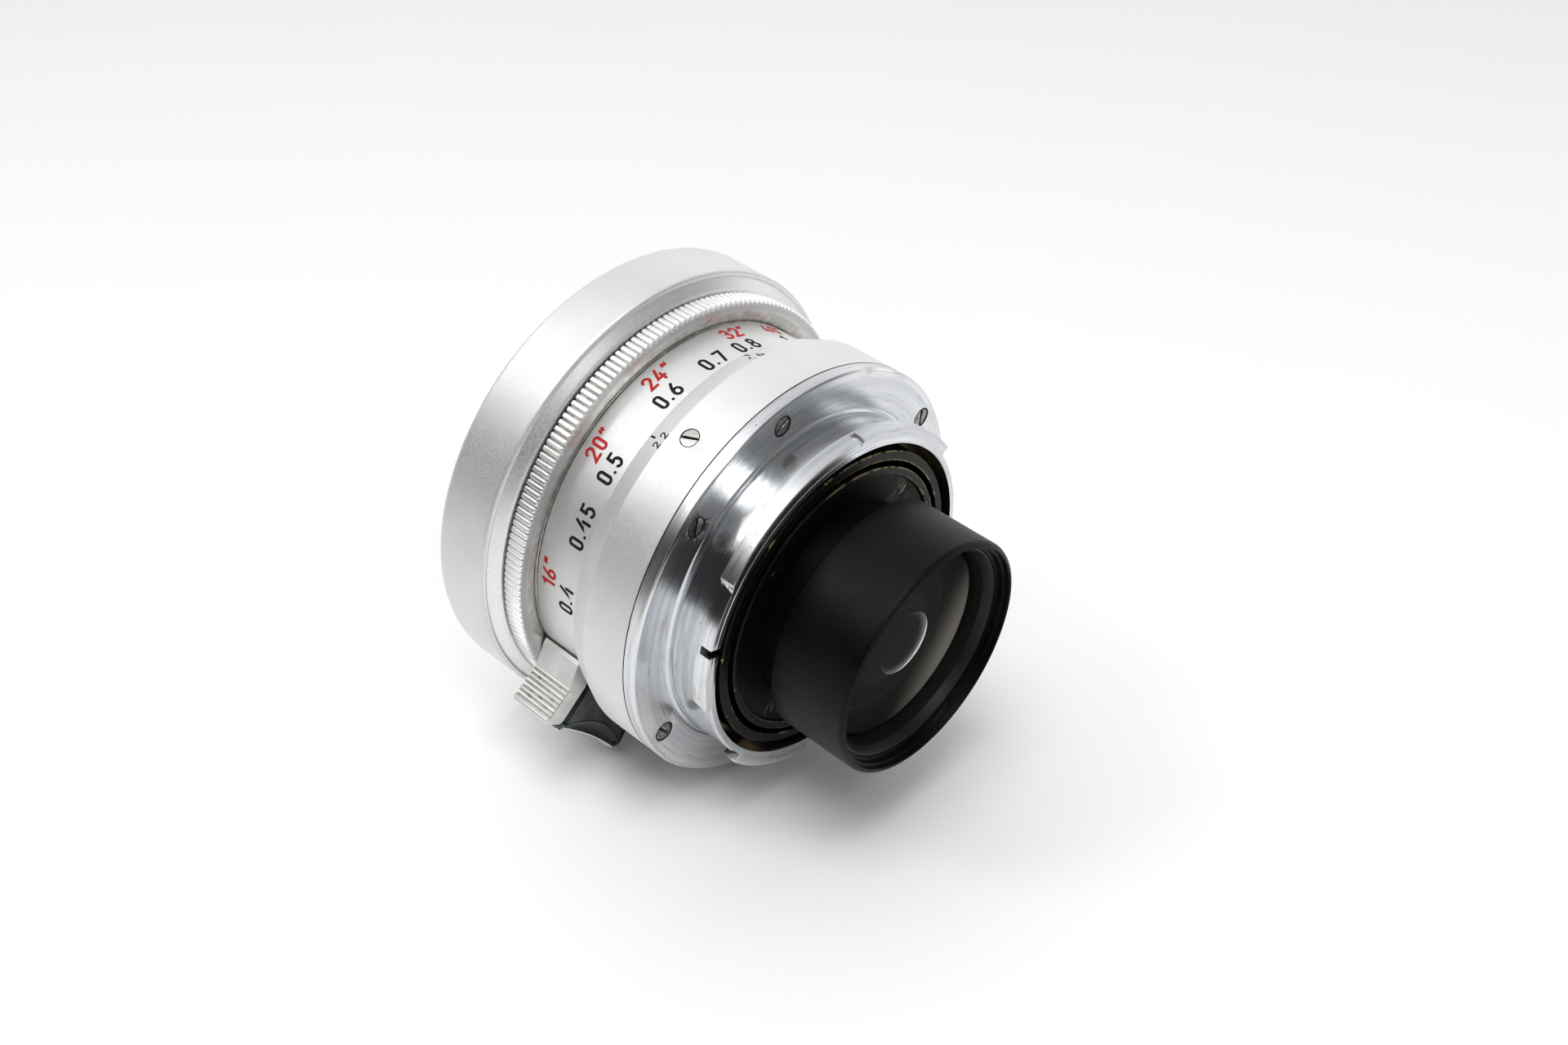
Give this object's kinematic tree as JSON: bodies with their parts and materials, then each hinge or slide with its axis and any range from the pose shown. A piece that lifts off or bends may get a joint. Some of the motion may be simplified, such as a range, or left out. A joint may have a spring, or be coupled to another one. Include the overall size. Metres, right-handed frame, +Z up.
{
  "type": "prime camera lens",
  "caption": "Wide-angle prime lens in satin chrome with a bayonet mount, tabbed focusing ring with infinity lock, knurled aperture ring, blade iris and long black rear tube.",
  "frame": {"origin": "on the optical axis, in the plane of the bayonet's register face", "axes": "+Y along the optical axis from the front glass to the bayonet, +Z up with the lens lying on its side, +X to the right seen from the front"},
  "size_m": [0.0576, 0.05, 0.0576],
  "materials": {
    "mount_steel": "turned and polished, with fine wear scratches",
    "satin_chrome": "fine satin blasted chrome",
    "bright_chrome": "bright knurled chrome",
    "screw_steel": "plain turned steel",
    "brass": "machined",
    "aged_brass": "blackened, worn at the slot",
    "black_brass": "black paint over brass, worn at the edges",
    "black_alloy": "black anodised, satin",
    "glass": "coated optical glass",
    "blade_steel": "blackened spring steel"
  },
  "bodies": {
    "barrel": {"bayonet_mount": "mount_steel", "fixed_barrel": "satin_chrome", "flange_screws": "screw_steel", "barrel_screws": "screw_steel", "guide_keys": "brass", "guide_key_screws": "screw_steel", "helicoid_retainer": "black_alloy", "focus_stop_pins": "screw_steel"},
    "focus": {"focusing_ring": "satin_chrome", "focus_helicoid": "brass", "focus_ring_screws": "screw_steel", "focus_tab": "satin_chrome", "tab_screws": "screw_steel", "lock_hinge_pin": "screw_steel", "lock_spring": "screw_steel"},
    "lock": {"lock_lever": "satin_chrome"},
    "rangefinder": {"rangefinder_sleeve": "black_brass"},
    "head": {"inner_helicoid": "black_brass", "head_shell": "satin_chrome", "front_ring": "satin_chrome", "front_retainer": "black_alloy", "front_cell": "black_alloy", "front_meniscus": "glass", "front_triplet_outer": "glass", "front_triplet_middle": "glass", "front_triplet_inner": "glass", "front_triplet_retainer": "black_alloy", "iris_housing": "black_alloy", "iris_cover": "black_alloy", "rear_cell": "black_alloy", "rear_triplet_inner": "glass", "rear_triplet_middle": "glass", "rear_triplet_outer": "glass", "rear_plate": "black_alloy", "rear_plate_screws": "aged_brass", "rear_tube": "black_alloy", "rear_meniscus": "glass", "rear_retainer": "black_alloy", "click_ball": "screw_steel", "click_spring": "screw_steel"},
    "aperture": {"aperture_ring": "bright_chrome", "iris_drive_pin": "screw_steel", "iris_cam_ring": "black_alloy"},
    "blade_1": {"iris_blade_1": "blade_steel"},
    "blade_2": {"iris_blade_2": "blade_steel"},
    "blade_3": {"iris_blade_3": "blade_steel"},
    "blade_4": {"iris_blade_4": "blade_steel"}
  },
  "joints": [
    {"name": "focus_turn", "type": "hinge", "parent": "barrel", "child": "focus", "pos_m": [0, -0.012, 0], "axis": [0, -1, 0], "range_deg": [0, 176]},
    {"name": "head_slide", "type": "slide", "parent": "barrel", "child": "head", "axis": [0, -1, 0], "range_m": [0, 0.0013]},
    {"name": "rangefinder_slide", "type": "slide", "parent": "barrel", "child": "rangefinder", "axis": [0, -1, 0], "range_m": [0, 0.004]},
    {"name": "lock_press", "type": "hinge", "parent": "focus", "child": "lock", "pos_m": [0.02278, -0.01535, -0.01101], "axis": [0, 1, 0], "range_deg": [0, 6], "stiffness_Nm_per_rad": 0.05, "springref_deg": -4.58},
    {"name": "aperture_turn", "type": "hinge", "parent": "head", "child": "aperture", "pos_m": [0, -0.02, 0], "axis": [0, 1, 0], "range_deg": [0, 72]},
    {"name": "blade_1_turn", "type": "hinge", "parent": "head", "child": "blade_1", "pos_m": [0.0055, -0.0037, 0.0076], "axis": [0, 1, 0], "range_deg": [0, 22]},
    {"name": "blade_2_turn", "type": "hinge", "parent": "head", "child": "blade_2", "pos_m": [0.0076, -0.0037, -0.0055], "axis": [0, 1, 0], "range_deg": [0, 22]},
    {"name": "blade_3_turn", "type": "hinge", "parent": "head", "child": "blade_3", "pos_m": [-0.0055, -0.0037, -0.0076], "axis": [0, 1, 0], "range_deg": [0, 22]},
    {"name": "blade_4_turn", "type": "hinge", "parent": "head", "child": "blade_4", "pos_m": [-0.0076, -0.0037, 0.0055], "axis": [0, 1, 0], "range_deg": [0, 22]}
  ],
  "couplings": [
    {"joint": "head_slide", "follows": "focus_turn", "m_per_rad": 0.000423},
    {"joint": "rangefinder_slide", "follows": "focus_turn", "m_per_rad": 0.0013},
    {"joint": "blade_1_turn", "follows": "aperture_turn", "ratio": 0.3055},
    {"joint": "blade_2_turn", "follows": "aperture_turn", "ratio": 0.3055},
    {"joint": "blade_3_turn", "follows": "aperture_turn", "ratio": 0.3055},
    {"joint": "blade_4_turn", "follows": "aperture_turn", "ratio": 0.3055}
  ]
}
